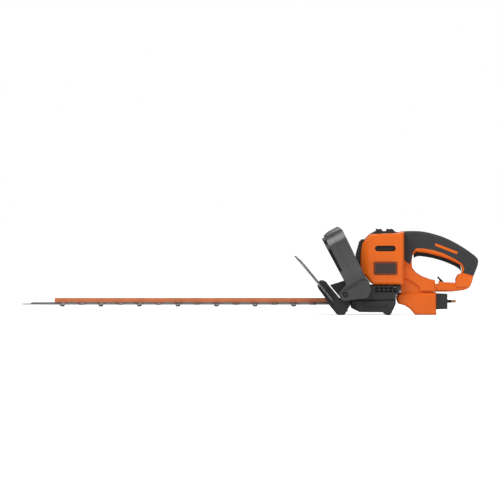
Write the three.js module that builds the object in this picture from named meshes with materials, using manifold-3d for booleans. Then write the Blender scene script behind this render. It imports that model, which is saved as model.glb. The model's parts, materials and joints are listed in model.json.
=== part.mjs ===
// Mains hedge trimmer with two reciprocating blades, in millimetres.
// +X runs from the blade tip to the rear handle and +Z is up. The halves of the housing meet on Y = 0.
// The origin is on the resting plane, midway along the tool. Left is -Y, the operator's left hand side.
import * as THREE from "three";
import { mergeVertices } from "three/addons/utils/BufferGeometryUtils.js";
import Module from "manifold-3d";

const wasm = await Module();
wasm.setup();

// ---------------------------------------------------------------- driving dimensions

const GAP = 0.3; // left between pieces that meet
const SIDES = { left: -1, right: 1 };

const TOOTH_PITCH = 38.55;
const TOOTH_COUNT = 14;
const FIRST_TOOTH_X = -375.4;
const TOOTH_ROOT_HALF = 8.5;
const TOOTH_TIP_HALF = 3.5;
const TOOTH_REACH = 36;
const SHANK_HALF = 13.5;
const BLADE_THICKNESS = 2.1;
const LOWER_BLADE_Z = 19.9;
const UPPER_BLADE_Z = 22.3;
const BLADE_TIP_X = -456;
const BOLT_COUNT = 7;
const BOLT_SHOULDER = 3;

const BAR_X = [-390.6, 198];
const BAR_HALF = 10;
const BAR_Z = [24.7, 33];
const BAR_WALL = 2.3;

const GEAR_X = 234;
const MOTOR_X = 269;
const MODULE = 1.25;
const GEAR_TEETH = 48;
const PINION_TEETH = 8;
const TOOTH_SHIFT = 0.5; // pinion teeth stand out by this many modules, gear teeth are cut back by it
const PRESSURE_ANGLE = THREE.MathUtils.degToRad(20);
const BACKLASH = 0.3;
const THROW = 8; // centre of each eccentric from the gear's axis: half the blades' stroke
const ECCENTRIC_R = 15;
const AXLE_R = 4;

const BLOCK_HALF = 46;
const BLOCK_EDGE = 9;
const BLOCK_WALL = 3;
const BLOCK_FRONT_X = 219.8;
const BLOCK_CORNER = 18; // radius of the block's front corners, seen from above
const HANDLE_HALF = 19;
const HANDLE_EDGE = 7;
const HANDLE_WALL = 4.9;
const SKIN = 2.2; // soft skin moulded over the rear handle
const NECK_HALF = 27;
const NECK_RECESS_HALF = 21.5; // below the crease under the handle's arm
const PAD_HALF = 23;
const SHROUD_HALF = 27;
const INLET_Z = 26.4;
const PIN_SPACING = 19;
const PIN_R = 2.4;

const TRIGGER_PIVOT = [334, 124];
const TRIGGER_HALF = 8.8;
const TRIGGER_TRAVEL = 3.5; // degrees

const FRONT_FOOT = [188, 68.6]; // lower front corner of the front handle, in X and Z
const FRONT_LEAN = THREE.MathUtils.degToRad(27.4);
const FRONT_SPLIT = 19.4; // depth at which its front and rear shells meet
const FRONT_WALL = 2.5;
const LEVER_OUTER = 90;
const LEVER_INNER = 78;
const LEVER_PIVOT = [25, 4]; // height and depth in the front handle's frame
const LEVER_TOP = 93;
const LEVER_DEPTH = 8;
const LEVER_GROOVE = 16;
const HANDLE_SCREW = [190, 41.4]; // in X and Z

const GUARD_FOOT = [166, 25];
const GUARD_SLOPE = THREE.MathUtils.degToRad(50.4);
const GUARD_THICKNESS = 2.8;
const GUARD_BOW = 2.5;

const FINISHES = {
  orange: { color: 0xf06a26, roughness: 0.42, metalness: 0 },
  charcoal: { color: 0x4a4a4d, roughness: 0.4, metalness: 0 },
  black: { color: 0x2c2c2e, roughness: 0.5, metalness: 0 },
  softGrip: { color: 0x3d3d3f, roughness: 0.8, metalness: 0 },
  smoked: { color: 0x9a9ea3, roughness: 0.15, metalness: 0, transparent: true, opacity: 0.45 },
  barOrange: { color: 0xe0763f, roughness: 0.45, metalness: 0.1 },
  steel: { color: 0x8f9296, roughness: 0.35, metalness: 1 },
  darkSteel: { color: 0x4c4d50, roughness: 0.45, metalness: 1 },
  brass: { color: 0xb58d48, roughness: 0.35, metalness: 1 },
  copper: { color: 0xb4623a, roughness: 0.4, metalness: 1 },
  carbon: { color: 0x202022, roughness: 0.7, metalness: 0 },
};

// ---------------------------------------------------------------- outlines

const vector2 = ([a, b]) => new THREE.Vector2(a, b);
const flipped = (half) => half.filter(([a]) => a !== 0).map(([a, b]) => [-a, b]).reverse();

// A closed outline from its right half, which starts at the top.
const mirrored = (half) => [...half, ...flipped(half)];

// An open line over the top, from left to right, from its right half.
const archOf = (half) => [...flipped(half), ...half];

// Points along a smooth curve through the given points.
function smooth(points, steps) {
  return new THREE.SplineCurve(points.map(vector2)).getPoints(steps).map((p) => [p.x, p.y]);
}

// Points along an arc, with its angles in degrees.
function arc([x, y], radius, from, to, steps = 6) {
  return Array.from({ length: steps + 1 }, (_, i) => {
    const angle = THREE.MathUtils.degToRad(from + ((to - from) * i) / steps);
    return [x + radius * Math.cos(angle), y + radius * Math.sin(angle)];
  });
}

const circle = (centre, radius, sides = 16) => arc(centre, radius, 0, 360 * (1 - 1 / sides), sides - 1);

// Moves each side of a closed outline inwards by a distance, or outwards if it is negative.
function inset(outline, distance) {
  const inward = THREE.ShapeUtils.area(outline.map(vector2)) > 0 ? distance : -distance;
  const count = outline.length;
  return outline.map((point, i) => {
    const here = vector2(point);
    const arriving = here.clone().sub(vector2(outline[(i + count - 1) % count])).normalize();
    const leaving = vector2(outline[(i + 1) % count]).sub(here).normalize();
    const reach = inward / (1 + arriving.dot(leaving));
    return [here.x - (arriving.y + leaving.y) * reach, here.y + (arriving.x + leaving.x) * reach];
  });
}

// An outline in X and Z turned about a point, in degrees, so that positive lifts what is towards +X.
function turnedOutline(outline, centre, degrees) {
  const angle = THREE.MathUtils.degToRad(degrees);
  return outline.map((point) => vector2(point).rotateAround(vector2(centre), angle).toArray());
}

// ---------------------------------------------------------------- solids

// A closed geometry as a manifold-3d solid, with its faces pointing out.
function solid(geometry) {
  const plain = geometry.index ? geometry.toNonIndexed() : geometry.clone();
  plain.deleteAttribute("normal");
  plain.deleteAttribute("uv");
  const merged = mergeVertices(plain, 1e-4);
  const corners = merged.index.array;
  const faces = [];
  for (let i = 0; i < corners.length; i += 3) {
    const face = [corners[i], corners[i + 1], corners[i + 2]];
    if (new Set(face).size === 3) faces.push(face);
  }
  const build = (list) =>
    new wasm.Manifold(
      new wasm.Mesh({
        numProp: 3,
        vertProperties: merged.attributes.position.array,
        triVerts: new Uint32Array(list.flat()),
      }),
    );
  const made = build(faces);
  return made.volume() > 0 ? made : build(faces.map(([a, b, c]) => [a, c, b]));
}

function geometryOf(shape) {
  const mesh = shape.getMesh();
  const geometry = new THREE.BufferGeometry();
  geometry.setAttribute("position", new THREE.BufferAttribute(mesh.vertProperties, 3));
  geometry.setIndex(new THREE.BufferAttribute(mesh.triVerts, 1));
  geometry.computeVertexNormals();
  return geometry;
}

const join = (...solids) => solids.reduce((a, b) => a.add(b));
const cut = (body, ...tools) => tools.reduce((a, b) => a.subtract(b), body);

// An outline's points, in anticlockwise order if the turn is 1 and clockwise if it is -1.
function wound(outline, turn) {
  const points = outline.map(vector2);
  return THREE.ShapeUtils.area(points) * turn > 0 ? points : points.reverse();
}

// An outline extruded along +Z from 0 to a depth. Its edges are rounded by an edge radius.
function extruded(outline, depth, { edge = 0, rounds = 3, holes = [] } = {}) {
  const shape = new THREE.Shape(wound(outline, 1));
  shape.holes = holes.map((hole) => new THREE.Path(wound(hole, -1)));
  const geometry = new THREE.ExtrudeGeometry(shape, {
    depth: depth - 2 * edge,
    bevelEnabled: edge > 0,
    bevelSize: edge,
    bevelThickness: edge,
    bevelOffset: -edge,
    bevelSegments: rounds,
  });
  return geometry.translate(0, 0, edge);
}

// An outline in X and Z, extruded across the tool to the same width on both sides.
function across(outline, half, options) {
  return solid(extruded(outline, 2 * half, options).translate(0, 0, -half).rotateX(Math.PI / 2));
}

// An outline in X and Y, extruded upwards between two heights.
function upright(outline, [low, high], options) {
  return solid(extruded(outline, high - low, options).translate(0, 0, low));
}

function block([x0, x1], [y0, y1], [z0, z1]) {
  const geometry = new THREE.BoxGeometry(x1 - x0, y1 - y0, z1 - z0);
  return solid(geometry.translate((x0 + x1) / 2, (y0 + y1) / 2, (z0 + z1) / 2));
}

// A profile of radius and height, turned about the Z axis. It starts and ends on the axis, or closes.
function turned(profile, sides = 24) {
  return solid(new THREE.LatheGeometry(profile.map(vector2), sides).rotateX(Math.PI / 2));
}

// A ring about the Z axis.
function ring(inner, outer, [low, high], sides = 16) {
  const profile = [[inner, low], [outer, low], [outer, high], [inner, high], [inner, low]];
  return turned(profile, sides);
}

const post = (radius, [low, high], sides = 16) =>
  turned([[0, low], [radius, low], [radius, high], [0, high]], sides);

// A round bar along X or Y, between two places on that axis.
function barAlong(axis, radius, [from, to], [a, b], sides = 20) {
  const geometry = new THREE.CylinderGeometry(radius, radius, to - from, sides);
  const middle = (from + to) / 2;
  if (axis === "x") return solid(geometry.rotateZ(Math.PI / 2).translate(middle, a, b));
  return solid(geometry.translate(a, middle, b));
}

// A round wire along a curve.
function wire(path, radius, steps, sides = 6) {
  const section = new THREE.Shape(circle([0, 0], radius, sides).map(vector2));
  return solid(new THREE.ExtrudeGeometry(section, { extrudePath: path, steps, bevelEnabled: false }));
}

class Coil extends THREE.Curve {
  constructor(radius, height, turns) {
    super();
    Object.assign(this, { radius, height, turns });
  }

  getPoint(t, target = new THREE.Vector3()) {
    const angle = 2 * Math.PI * this.turns * t;
    return target.set(this.radius * Math.cos(angle), this.radius * Math.sin(angle), this.height * t);
  }
}

// The part of a solid on one side of the plane Y = 0, clear of that plane by half a gap.
function halfOf(body, side) {
  const reach = side * 300;
  const face = (side * GAP) / 2;
  return body.intersect(block([-500, 500], [Math.min(face, reach), Math.max(face, reach)], [-300, 300]));
}

// ---------------------------------------------------------------- scene graph

const trimmer = new THREE.Group();

function group(x, y, z) {
  const made = new THREE.Group();
  made.position.set(x, y, z);
  trimmer.add(made);
  return made;
}

function add(name, shape, finish, parent = trimmer) {
  const mesh = new THREE.Mesh(geometryOf(shape), new THREE.MeshStandardMaterial(FINISHES[finish]));
  mesh.name = name;
  parent.add(mesh);
  return mesh;
}

const motor = group(MOTOR_X, 0, 0);
const drive = group(GEAR_X, 0, 0);
const frontHandle = group(FRONT_FOOT[0], 0, FRONT_FOOT[1]);
frontHandle.rotation.setFromRotationMatrix(
  new THREE.Matrix4().makeBasis(
    new THREE.Vector3(0, 1, 0),
    new THREE.Vector3(-Math.sin(FRONT_LEAN), 0, Math.cos(FRONT_LEAN)),
    new THREE.Vector3(Math.cos(FRONT_LEAN), 0, Math.sin(FRONT_LEAN)),
  ),
);
const guard = group(GUARD_FOOT[0], 0, GUARD_FOOT[1]);
guard.rotation.setFromRotationMatrix(
  new THREE.Matrix4().makeBasis(
    new THREE.Vector3(0, 1, 0),
    new THREE.Vector3(-Math.cos(GUARD_SLOPE), 0, Math.sin(GUARD_SLOPE)),
    new THREE.Vector3(Math.sin(GUARD_SLOPE), 0, Math.cos(GUARD_SLOPE)),
  ),
);

// A place in X and Z as height and depth in the front handle's frame.
function inFrontHandle([x, z]) {
  const [dx, dz] = [x - FRONT_FOOT[0], z - FRONT_FOOT[1]];
  return [
    -dx * Math.sin(FRONT_LEAN) + dz * Math.cos(FRONT_LEAN),
    dx * Math.cos(FRONT_LEAN) + dz * Math.sin(FRONT_LEAN),
  ];
}

// ---------------------------------------------------------------- motor housing and rear handle

const BLOCK = [
  [240.6, 161.4], [234.8, 155.8], [223.4, 143], [BLOCK_FRONT_X, 115.6], [BLOCK_FRONT_X, 91.4], [226.8, 80],
  [240.6, 63.8], [246.2, 60.4], [307, 60.4], [307, 166.6], [296, 163.8],
];
const HANDLE = [
  [302, 165.4],
  ...smooth([[310, 166.6], [327, 167.2], [347, 165.8], [366, 161.6], [386, 155.4], [406, 146.2],
    [423, 136.4], [437, 127.2], [449.6, 117.6]], 16),
  ...smooth([[454.6, 112.2], [456, 105.5], [453.2, 93.6], [446.4, 76.8], [444, 66]], 8),
  ...smooth([[440, 56.4], [434, 51.4], [424, 48.4], [402, 45.8]], 5),
  [302, 45.8],
];
const FINGER_LOOP = [
  [323, 106], [324.5, 118], [331, 125.2], [352, 123], [380.4, 116], [401.4, 108.4], [421, 99.2],
  [424, 91], [422.4, 82.5], [416, 80.2], [411, 70], [411.5, 63.5], [387.4, 65], [359.2, 71.2],
  [343.8, 76.8], [331.2, 85.2], [324.2, 93.6],
];
// The arm from the block to the lower bar. Its underside is the crease that the recess below it starts from.
const NECK = [
  [301.2, 69.8], [301.2, 99], [311, 99], [321, 92], [330, 84.5], [343, 74], [357, 65.6], [368, 60.5],
  [371, 47.2], [336.8, 47.2], [338.2, 54.4], [322.8, 67], [313, 71.8],
];
const NECK_RECESS = [[301.2, 43], [301.2, 76], [315, 77], [328, 70], [344, 57], [344, 43]];
const SHROUD = [
  [301.8, 43.8], [371.8, 44.4], [371.8, 0], [329.8, 0], [318.6, 12.2], [308.8, 18.6], [296.2, 22],
  [293.4, 27.6], [292.6, 36], [297.6, 41.6],
];
const REAR_PAD = [[415, 79], [410.8, 69.6], [411.8, 55], [438, 57], [443, 67], [445, 77]];
const SKIN_REACH = [
  [307.7, 180], [307.7, 110.4], [311.6, 105.6], [319, 101], [322.8, 110.4], [324.4, 123], [331.2, 132.8],
  [346.6, 132.8], [366.2, 129.4], [387.4, 122.4], [408.4, 111.8], [423.8, 102], [428, 90.8],
  [425.2, 83.8], [446.2, 78.2], [480, 78], [480, 180],
];
const SKIN_WINDOW = [[370, 143.4], [415.4, 125.8], [412.6, 120.8], [368.6, 137.8]];
const TRIGGER = [
  ...smooth([[327.5, 113.4], [335.4, 116.8], [346.6, 116], [366.2, 112.6], [387.4, 106.2], [405.6, 98.6],
    [416.8, 92.2], [420.6, 87]], 14),
  [422, 91], [419, 104], [403, 112], [381, 120], [352, 127], [338, 129.5], [330, 128.5], [327, 121],
];
const SIDE_VENT = [...arc([284.5, 133], 5.6, -90, 90, 8), ...arc([254.2, 133], 5.6, 90, 270, 8)];
const BADGE_X = [245.2, 294];
const BADGE_Z = [79.5, 107.3];
const BADGE_CORNER = 4;
const BADGE_DEPTH = 1.6;
const SCREW_WELL_R = 4;
const BADGE = [[1, 1, 0], [0, 1, 90], [0, 0, 180], [1, 0, 270]].flatMap(([right, top, from]) => {
  const centre = [
    BADGE_X[right] + BADGE_CORNER * (right ? -1 : 1),
    BADGE_Z[top] + BADGE_CORNER * (top ? -1 : 1),
  ];
  return arc(centre, BADGE_CORNER, from, from + 90, 3);
});
// The screws that close the housing sit in wells on its right side: X, Z and the depth of the well's floor.
const SCREW_WELLS = [
  [238, 150, 44.2], [300, 152, 44.2], [300, 74, 44.2], [238, 84, 44.2], [431, 66, 20.6], [350, 58, 25.2],
];
const NOTCH = [[369.8, 61.2], [369.8, 80], [377.4, 74], [377.4, 61.2]];
const HOOK = [[379.4, 56], [387, 56], [387, 66], [376.4, 76.4], [374.2, 74.4], [379.4, 67.6]];

const handleSolid = (depth) =>
  across(inset(HANDLE, depth), HANDLE_HALF - depth, {
    edge: HANDLE_EDGE - depth,
    holes: [inset(FINGER_LOOP, -depth)],
  });

const triggerSlot = join(
  ...[0, 0.35, 0.7, 1, 1.15].map((part) =>
    across(turnedOutline(inset(TRIGGER, -0.6), TRIGGER_PIVOT, part * TRIGGER_TRAVEL), TRIGGER_HALF + 0.6),
  ),
);

// The space outside the handle's core that the soft skin may fill, all round its own window.
function skinSpace(growth) {
  const window = across(inset(SKIN_WINDOW, growth), 40);
  return cut(across(inset(SKIN_REACH, -growth), 35), window, handleSolid(SKIN + growth));
}

// The motor block at a depth below its surface, with its front corners rounded as seen from above.
function blockSolid(depth, rounds) {
  const radius = BLOCK_CORNER - depth;
  const centre = [BLOCK_FRONT_X + BLOCK_CORNER, BLOCK_HALF - BLOCK_CORNER];
  const clear = BLOCK_HALF - depth + 1;
  const corner = [[330, clear], [centre[0], clear], ...arc(centre, radius, 98, 180, 4)];
  const plan = [...corner, ...corner.map(([x, y]) => [x, -y]).reverse()];
  return across(inset(BLOCK, depth), BLOCK_HALF - depth, { edge: BLOCK_EDGE - depth, rounds }).intersect(
    upright(plan, [40, 190]),
  );
}

function housingSolid() {
  const outside = join(
    blockSolid(0, 3),
    handleSolid(0),
    across(NECK, NECK_HALF, { edge: 3, rounds: 2 }),
    across(NECK_RECESS, NECK_RECESS_HALF),
    across(SHROUD, SHROUD_HALF, { edge: 6.5 }),
    across(REAR_PAD, PAD_HALF, { edge: 2, rounds: 2 }),
    block([306, 366], [-20, 20], [41, 50]),
  );
  const inside = join(
    blockSolid(BLOCK_WALL, 2),
    across(inset(HANDLE, HANDLE_WALL), HANDLE_HALF - HANDLE_WALL, {
      holes: [inset(FINGER_LOOP, -HANDLE_WALL)],
    }),
    across(inset(NECK, 3), NECK_HALF - 3),
    across(inset(NECK_RECESS, 3), NECK_RECESS_HALF - 3),
    across(inset(SHROUD, 2.5), SHROUD_HALF - 2.5, { edge: 4, rounds: 1 }),
    block([300, 312], [-14, 14], [66, 158]),
    block([312, 360], [-15, 15], [38, 52]),
  );
  const bearingSeat = join(
    block([262, 276], [-44.5, 44.5], [145.8, 154]),
    post(13, [145.8, 154]).translate([MOTOR_X, 0, 0]),
  );
  const statorRests = Object.values(SIDES).map((side) =>
    block([262, 276], side < 0 ? [-44.5, -33.3] : [33.3, 44.5], [95, 115]),
  );
  const springRest = block([346, 358], [-15.5, 15.5], [140.5, 144]);
  const badgeFloor = BLOCK_HALF - BADGE_DEPTH;
  const badgePockets = cut(across(BADGE, 80), block([200, 350], [-badgeFloor, badgeFloor], [50, 150]));
  const screwWells = SCREW_WELLS.map(([x, z, floor]) => barAlong("y", SCREW_WELL_R, [floor, 80], [x, z], 12));
  return cut(
    join(cut(outside, inside), bearingSeat, ...statorRests, springRest),
    post(9.8, [146.7, 160]).translate([MOTOR_X, 0, 0]),
    post(6, [140, 150]).translate([MOTOR_X, 0, 0]),
    block([243, 297], [-38, 38], [50, 66]),
    block([247, 291], [-25.4, 25.4], [155, 175]),
    block([214, 228], [-25.4, 25.4], [84, 140]),
    block([366, 376], [-19.4, 19.4], [10, 42.8]),
    across(SIDE_VENT, 80),
    badgePockets,
    ...screwWells,
    across(NOTCH, 40),
    across(inset(HOOK, -GAP), 6.3),
    triggerSlot,
    barAlong("y", 2.5, [-13.4, 13.4], TRIGGER_PIVOT, 16),
    skinSpace(GAP),
  );
}

const housing = housingSolid();
const skin = cut(handleSolid(0).intersect(skinSpace(0)), triggerSlot);
for (const [name, side] of Object.entries(SIDES)) {
  add("housing_" + name, halfOf(housing, side), "orange");
  add("grip_" + name, halfOf(skin, side), "softGrip");
}

add("cord_hook", across(HOOK, 6, { edge: 0.8, rounds: 1 }), "black");

const COVER = [
  [229.2, 150.4], [223.4, 150], [218.8, 145.4], [211.8, 120.2], [212, 92], [216, 76], [226, 67.6],
  [236.6, 62.6], [238.6, 65.4], [226.3, 79.8], [219.3, 91.2], [219.3, 115.7], [222.9, 143.2],
];
add("front_cover", across(COVER, 32, { edge: 1.2, rounds: 2 }), "black");

// Two ribs, each with a double crest, stand on a low plate that follows the block's sloping top.
const VENT_CAP = [
  [241.4, 161.9], [252, 167.2], [252, 170.8], [254, 171.4], [257.3, 170.3], [260.6, 171.4], [262.8, 170.6],
  [265.4, 166.4], [272.6, 166.9], [273.8, 170.8], [276, 171.4], [279.6, 170.3], [283.2, 171.4], [286, 170.4],
  [288.4, 166.6], [295.4, 164.4], [290.8, 164.1], [290.8, 158.5], [247.4, 158.5], [247.4, 162.2],
];
add(
  "top_vent_cap",
  cut(
    across(VENT_CAP, 25),
    ...[-18, -9, 0, 9, 18].map((y) => block([249, 289], [y - 2.4, y + 2.4], [150, 164.4])),
  ),
  "black",
);

// A plate behind the left vent slot, with louvres that stand out towards the slot.
const BAFFLE_X = [244, 295];
const BAFFLE_Y = [-42.2, -38.8];
add(
  "air_baffle",
  join(
    block(BAFFLE_X, [-40, BAFFLE_Y[1]], [122.4, 143.6]),
    ...[125, 130.4, 135.8, 141.2].map((z) => block(BAFFLE_X, [BAFFLE_Y[0], -39.4], [z - 1.1, z + 1.1])),
  ),
  "black",
);
const BADGE_THICKNESS = 1.1;
add(
  "badge_left",
  across(inset(BADGE, 1.4), BADGE_THICKNESS / 2).translate([0, BADGE_THICKNESS / 2 + 0.2 - BLOCK_HALF, 0]),
  "black",
);

// ---------------------------------------------------------------- mains inlet

const inletHoles = Object.values(SIDES).map((side) =>
  barAlong("x", PIN_R + GAP, [380, 400], [(side * PIN_SPACING) / 2, INLET_Z], 16),
);
add(
  "inlet_block",
  cut(
    join(
      across([[366.4, 10.4], [394.4, 11.4], [394.4, 41.4], [366.4, 42.4]], 19, { edge: 2.5, rounds: 2 }),
      block([362, 368.4], [-20.2, 20.2], [8, 39.6]),
    ),
    ...inletHoles,
  ),
  "black",
);
for (const [name, side] of Object.entries(SIDES)) {
  const profile = [[0, 0], [PIN_R, 0], [PIN_R, 29.6], [PIN_R * 0.8, 31.2], [0, 32]];
  const pin = add("inlet_pin_" + name, turned(profile, 16), "brass");
  pin.rotation.y = Math.PI / 2;
  pin.position.set(380.6, (side * PIN_SPACING) / 2, INLET_Z);
}

add("capacitor", barAlong("x", 7.5, [328, 355], [0, 20], 16), "black");
const leadRoute = [
  [361.6, 0, 31], [350, 0, 33], [338, 0, 41], [328, 0, 52], [318, 0, 66], [311.5, 0, 84], [311.5, 0, 108],
  [314, 0, 130], [322, 0, 147], [338, 0, 153], [356, 0, 152], [370, 0, 149], [376, 0, 143.6],
].map((p) => new THREE.Vector3(...p));
add("mains_lead", wire(new THREE.CatmullRomCurve3(leadRoute), 2.4, 30), "carbon");

// ---------------------------------------------------------------- trigger and its switch

add(
  "trigger",
  join(
    across(TRIGGER, TRIGGER_HALF, { edge: 1.2, rounds: 2 }),
    barAlong("y", 2.2, [-13, 13], TRIGGER_PIVOT, 16),
  ),
  "black",
);
const triggerSpring = add("trigger_spring", wire(new Coil(3.2, 11.6, 4), 0.5, 32, 5), "steel");
triggerSpring.position.set(351, 0, 128.2);

const REAR_PLUNGER_X = 381;
const rearSwitch = join(
  block([366, 396], [-8, 8], [127, 141]),
  block([369, 393], [-5, 5], [126, 128]),
);
add(
  "rear_switch",
  cut(rearSwitch, post(2.1, [120, 135]).translate([REAR_PLUNGER_X, 0, 0])),
  "carbon",
);
const rearPlunger = add("rear_switch_plunger", post(1.7, [0, 10], 12), "orange");
rearPlunger.position.set(REAR_PLUNGER_X, 0, 120.6);

// ---------------------------------------------------------------- motor

const sector = (inner, outer, reach, steps) => [
  ...arc([0, 0], inner, -reach, reach, steps),
  ...arc([0, 0], outer, reach, -reach, steps),
];
const CORE_Z = [86, 124];
const pole = upright(sector(18.3, 28.5, 37, 8), CORE_Z);
add("stator_core", join(ring(27.5, 33, CORE_Z, 24), pole, pole.rotate([0, 0, 180])), "darkSteel", motor);
const fieldCoil = cut(
  upright(sector(20, 27, 60, 10), [77, 133]),
  upright(sector(17, 30, 38.5, 6), [85.6, 124.4]),
);
add("field_coil_right", fieldCoil, "copper", motor);
add("field_coil_left", fieldCoil.rotate([0, 0, 180]), "copper", motor);

add(
  "armature_shaft",
  turned([[0, 33], [1.7, 33], [1.7, 46], [AXLE_R, 46], [AXLE_R, 158], [0, 158]], 20),
  "steel",
  motor,
);
const SHAFT_BORE = AXLE_R + GAP;
add(
  "armature_core",
  turned(
    [
      [SHAFT_BORE, 79.5], [12, 79], [16, 81.5], [16, 86], [17.5, 86], [17.5, 124], [16, 124], [16, 127],
      [12, 129], [SHAFT_BORE, 128.5], [SHAFT_BORE, 79.5],
    ],
    18,
  ),
  "darkSteel",
  motor,
);
add("commutator", ring(SHAFT_BORE, 11, [130, 143]), "copper", motor);
const FAN_R = 25;
const FAN_BLADES = 7;
const fanBlade = block([8, FAN_R - 0.6], [-0.9, 0.9], [66, 75.5]);
add(
  "fan",
  join(
    ring(SHAFT_BORE, FAN_R, [65.5, 67.3], 21),
    ring(SHAFT_BORE, 9, [65.5, 75.5]),
    ...Array.from({ length: FAN_BLADES }, (_, i) => fanBlade.rotate([0, 0, (360 * i) / FAN_BLADES])),
  ),
  "carbon",
  motor,
);
add("lower_bearing", ring(SHAFT_BORE, 11, [51, 58]), "steel", motor);
add("upper_bearing", ring(SHAFT_BORE, 9.5, [147, 153]), "steel", motor);
for (const [name, side] of Object.entries(SIDES)) {
  const reach = side < 0 ? [-24, -11.3] : [11.3, 24];
  add("brush_" + name, block([-3, 3], reach, [132.5, 140.5]), "carbon", motor);
}

// ---------------------------------------------------------------- gears and eccentrics

const involute = (angle) => Math.tan(angle) - angle;

// One spur gear's outline, with a tooth centred on +X.
function gearOutline(teeth, shift) {
  const pitch = (MODULE * teeth) / 2;
  const base = pitch * Math.cos(PRESSURE_ANGLE);
  const root = pitch - MODULE * (1.25 - shift);
  const tip = pitch + MODULE * (1 + shift) - 0.1;
  const pitchHalf = (Math.PI / 2 + 2 * shift * Math.tan(PRESSURE_ANGLE)) / teeth - BACKLASH / (4 * pitch);
  const halfAt = (radius) =>
    pitchHalf + involute(PRESSURE_ANGLE) - involute(Math.acos(Math.min(1, base / radius)));
  const low = Math.max(root + 0.05, base);
  const radii = teeth > 20 ? [root, tip] : [root, low, (low + tip) / 2, tip];
  const flank = radii.map((radius) => [radius, Math.min(halfAt(radius), (0.48 * 2 * Math.PI) / teeth)]);
  return Array.from({ length: teeth }, (_, tooth) => {
    const middle = (2 * Math.PI * tooth) / teeth;
    const rising = flank.map(([radius, half]) => [radius, middle - half]);
    const falling = flank.map(([radius, half]) => [radius, middle + half]).reverse();
    return [...rising, ...falling].map(([radius, angle]) => {
      return [radius * Math.cos(angle), radius * Math.sin(angle)];
    });
  }).flat();
}

add(
  "drive_gear",
  join(
    upright(gearOutline(GEAR_TEETH, -TOOTH_SHIFT), [33, 41], { holes: [circle([0, 0], SHAFT_BORE)] }),
    ring(SHAFT_BORE, 9, [26, 46]),
  ),
  "steel",
  drive,
);
const pinion = add(
  "pinion",
  upright(gearOutline(PINION_TEETH, TOOTH_SHIFT), [32.5, 45.7], { holes: [circle([0, 0], 2, 12)] }),
  "steel",
  motor,
);
pinion.rotation.z = Math.PI / PINION_TEETH;

const eccentric = (offset, span) =>
  upright(circle([0, offset], ECCENTRIC_R, 28), span, { holes: [circle([0, 0], SHAFT_BORE)] });
add("upper_eccentric", eccentric(THROW, [UPPER_BLADE_Z, 25.6]), "steel", drive);
add("lower_eccentric", eccentric(-THROW, [18.6, LOWER_BLADE_Z + BLADE_THICKNESS]), "steel", drive);
add("gear_axle", post(AXLE_R, [9, 54], 20), "steel", drive);
add("lower_bush", ring(SHAFT_BORE, 8, [9, 16]), "brass", drive);
add("upper_bush", ring(SHAFT_BORE, 8, [47, 54]), "brass", drive);

// ---------------------------------------------------------------- gear case

const CASE_SIDE = [[301, 38], [295, 44], [212, 44], [200, 32], [150, 28]]; // in X and Y
const CASE_PLAN = [...CASE_SIDE, ...CASE_SIDE.map(([x, y]) => [x, -y]).reverse()];
const CASE_UPPER = [
  [160, 58.4], [187.2, 66.6], [222, 66.6], [238, 60], [246, 58.6], [300.4, 58.6], [298, 44.4],
  [290.5, 39], [290.5, 30.2], [182, 30.2], [178.2, 36.5],
];
const CASE_LOWER = [
  [202, 13.8], [202, 29.8], [290.5, 29.8], [290.5, 23], [287, 14], [282, 4.5], [279.5, 0.8], [277, 0],
  [273, 0], [268.5, 1.6], [264, 5.8], [218, 6.2],
];
const CASE_ROOM = [
  [202.6, 29], [202.6, 63.4], [221, 63.4], [237.4, 56.8], [245.7, 55.4], [297, 55.4], [295.3, 46],
  [287.5, 40], [287.5, 29],
];
const CASE_ROOM_PLAN = [
  [202.6, -24], [214, -40], [292, -40], [298, -34], [298, 34], [292, 40], [214, 40], [202.6, 24],
];
const GRILLE_COLUMNS = [249.2, 258.2, 267.2, 276.2, 285.2];
const handleScrewAt = (radius, from, to) =>
  Object.values(SIDES).map((side) =>
    barAlong("y", radius, side < 0 ? [-to, -from] : [from, to], HANDLE_SCREW, 20),
  );
const GUARD_SCREW = [191, 27];

const caseUpper = cut(
  across(CASE_UPPER, 44, { edge: 3, rounds: 2 }).intersect(upright(CASE_PLAN, [20, 80])),
  across(CASE_ROOM, 60).intersect(upright(CASE_ROOM_PLAN, [20, 80])),
);
add(
  "gear_case_upper",
  cut(
    join(
      caseUpper,
      post(14, [48, 57]).translate([MOTOR_X, 0, 0]),
      post(11, [46.6, 60]).translate([GEAR_X, 0, 0]),
    ),
    post(11.3, [50.7, 70]).translate([MOTOR_X, 0, 0]),
    post(9, [40, 60]).translate([MOTOR_X, 0, 0]),
    post(8.3, [40, 54.3]).translate([GEAR_X, 0, 0]),
    block([140, 203.2], [-BAR_HALF - 0.6, BAR_HALF + 0.6], [20, 33.8]),
    ...GRILLE_COLUMNS.flatMap((x) =>
      [45.6, 51.6].map((z) => block([x, x + 6.8], [-60, 60], [z, z + 4.4])),
    ),
    ...handleScrewAt(11.4, 31.5, 60),
    ...handleScrewAt(2.7, 21, 60),
    ...[-GUARD_SCREW[1], GUARD_SCREW[1]].map((y) =>
      post(2.5, [20, 37], 12).translate([GUARD_SCREW[0], y, 0]),
    ),
  ),
  "black",
);

const FLANK_PANEL = [[225, 16], [229, 28], [271, 28], [275, 24], [269, 15.4]];
const flankPanel = across(FLANK_PANEL, 45.4, { edge: 1.6, rounds: 1 });
const lowerBody = across(CASE_LOWER, 44, { edge: 3, rounds: 2 }).intersect(upright(CASE_PLAN, [-10, 40]));
add(
  "gear_case_lower",
  cut(
    join(
      cut(join(lowerBody, flankPanel), block([204.4, 286], [-33, 33], [12, 40])),
      post(11, [8, 16]).translate([GEAR_X, 0, 0]),
    ),
    block([190, 210], [-21.8, 21.8], [15, 40]),
    post(8.3, [8.7, 30]).translate([GEAR_X, 0, 0]),
  ),
  "black",
);

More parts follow.
